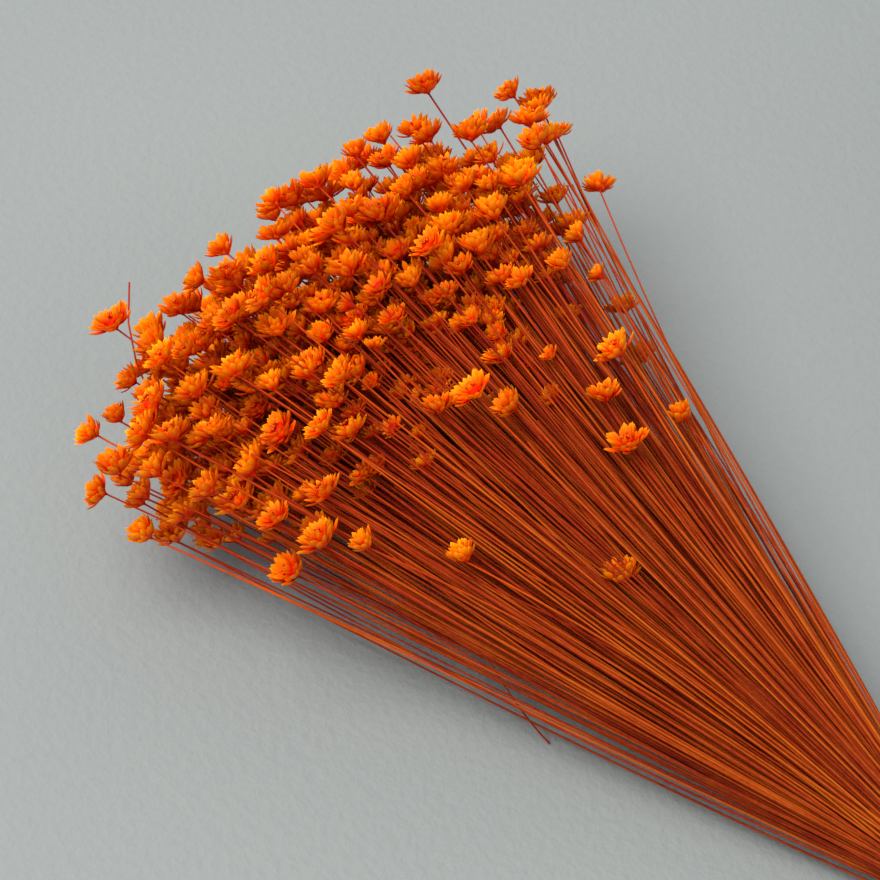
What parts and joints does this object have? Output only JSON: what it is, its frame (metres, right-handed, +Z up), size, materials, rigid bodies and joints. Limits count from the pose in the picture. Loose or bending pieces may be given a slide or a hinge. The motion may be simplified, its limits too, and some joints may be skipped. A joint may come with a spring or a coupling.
{
  "type": "bunch of dried glixia flowers",
  "caption": "Lying bunch of dried orange glixia: wire-thin stems gathered by a rubber band fan out to a dome of small star-shaped heads.",
  "frame": {"origin": "on the table, in the middle of the flat spot under the rubber band", "axes": "+X along the stems towards their cut ends, with the heads towards -X; +Z up from the table; +Y sideways"},
  "size_m": [0.3999, 0.22, 0.1146],
  "materials": {
    "dried_flower": "matt, papery, dyed orange",
    "band": "natural rubber, matt"
  },
  "bodies": {
    "root": {"spray_01": "dried_flower", "spray_02": "dried_flower", "spray_03": "dried_flower", "spray_04": "dried_flower", "spray_05": "dried_flower", "spray_06": "dried_flower", "spray_07": "dried_flower", "spray_08": "dried_flower", "spray_09": "dried_flower", "spray_10": "dried_flower", "spray_11": "dried_flower", "spray_12": "dried_flower", "spray_13": "dried_flower", "spray_14": "dried_flower", "spray_15": "dried_flower", "spray_16": "dried_flower", "spray_17": "dried_flower", "spray_18": "dried_flower", "spray_19": "dried_flower", "rubber_band": "band"}
  },
  "joints": []
}
